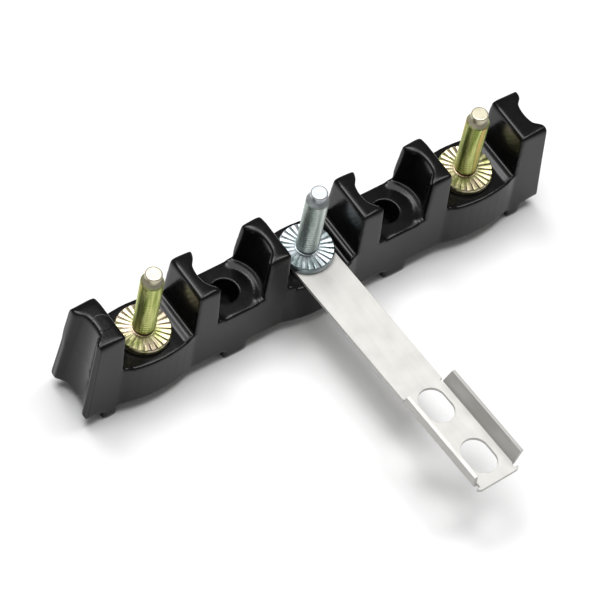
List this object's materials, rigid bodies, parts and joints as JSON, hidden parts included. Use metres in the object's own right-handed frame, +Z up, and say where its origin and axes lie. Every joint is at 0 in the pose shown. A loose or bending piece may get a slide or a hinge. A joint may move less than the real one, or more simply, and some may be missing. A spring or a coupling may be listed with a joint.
{
  "type": "barrier terminal strip",
  "caption": "Black moulded barrier terminal block with three threaded studs on serrated collars, a flanged bonding strap under the middle stud and tab terminals below",
  "frame": {"origin": "midway between the two mounting holes, on the plane the feet stand on", "axes": "+X along the block, -Y the way the bonding strap leaves, +Z up through the studs, away from the panel"},
  "size_m": [0.1148, 0.0728, 0.0353],
  "materials": {
    "thermoset": "gloss black phenolic moulding",
    "yellow_zinc": "steel, yellow iridescent zinc plate",
    "clear_zinc": "steel, clear bluish zinc plate",
    "plated_strip": "matt tin-plated strip",
    "tab_brass": "plain brass strip",
    "hardware_zinc": "steel, clear zinc plate"
  },
  "bodies": {
    "root": {"terminal_block": "thermoset", "left_stud": "yellow_zinc", "centre_stud": "clear_zinc", "right_stud": "yellow_zinc", "bonding_strap": "plated_strip", "left_tab": "tab_brass", "centre_tab": "tab_brass", "right_tab": "tab_brass", "left_lock_washer": "hardware_zinc", "centre_lock_washer": "hardware_zinc", "right_lock_washer": "hardware_zinc", "left_nut": "hardware_zinc", "centre_nut": "hardware_zinc", "right_nut": "hardware_zinc"}
  },
  "joints": []
}
